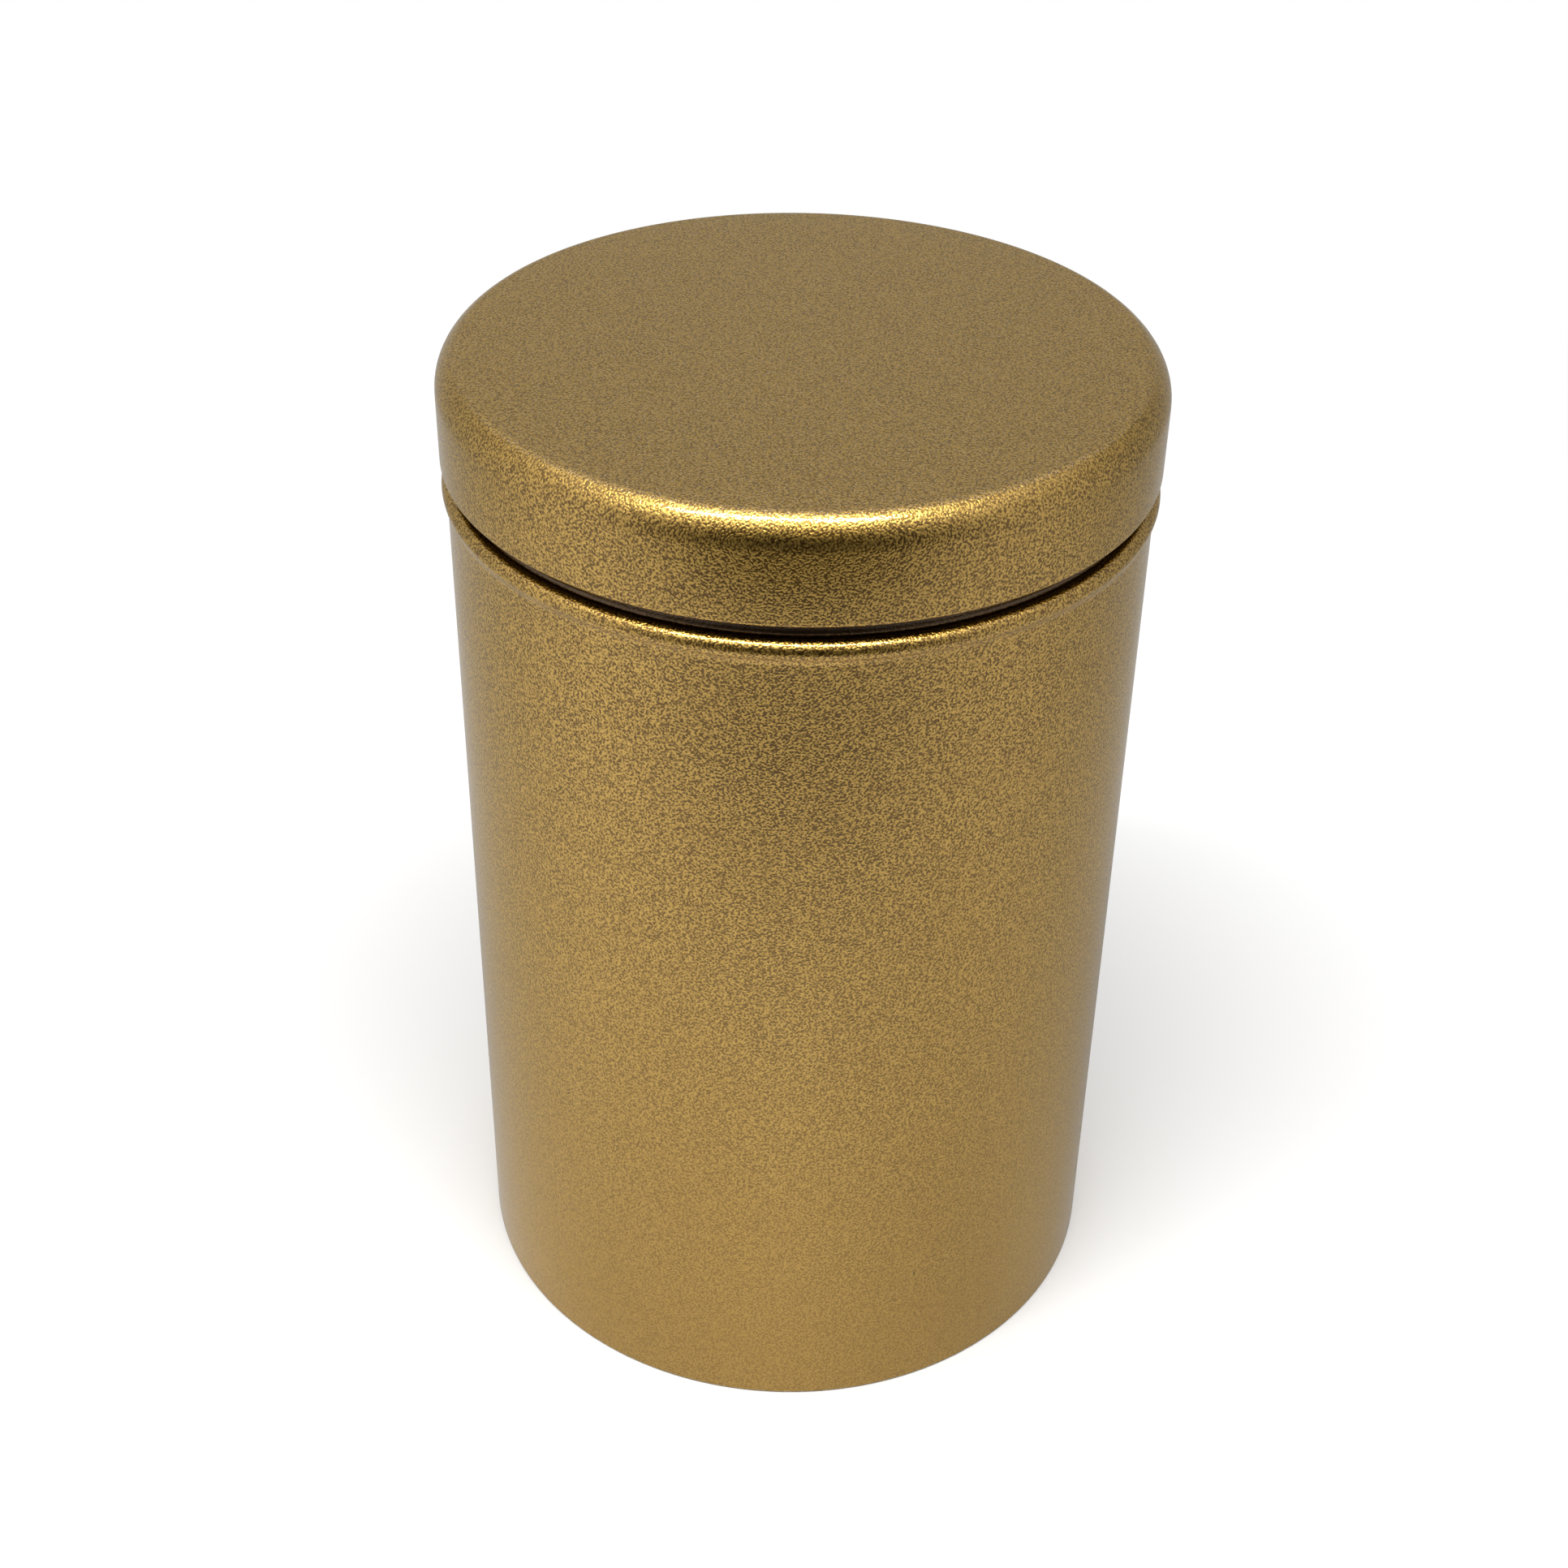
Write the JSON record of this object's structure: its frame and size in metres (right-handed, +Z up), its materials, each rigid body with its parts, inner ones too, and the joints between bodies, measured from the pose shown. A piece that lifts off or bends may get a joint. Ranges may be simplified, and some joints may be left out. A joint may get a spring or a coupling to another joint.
{
  "type": "round slip-lid tin",
  "caption": "Tall round metal tin for biscuits, with a flat-topped slip-on lid, a rolled bead under the lid and a hemmed foot.",
  "frame": {"origin": "centre of the circle on the floor that the tin stands on", "axes": "+Z up along the tin's axis, +Y to the back, where the side seam is, +X to the right seen from the front"},
  "size_m": [0.0852, 0.0852, 0.1312],
  "materials": {
    "gold_coat": "satin metallic gold coating with a fine orange-peel grain on thin tinplate"
  },
  "bodies": {
    "tin": {"body_wall": "gold_coat", "base_pan": "gold_coat"},
    "lid": {"lid": "gold_coat"}
  },
  "joints": [
    {"name": "lid_lift", "type": "slide", "parent": "tin", "child": "lid", "axis": [0, 0, 1], "range_m": [0, 0.06]}
  ]
}
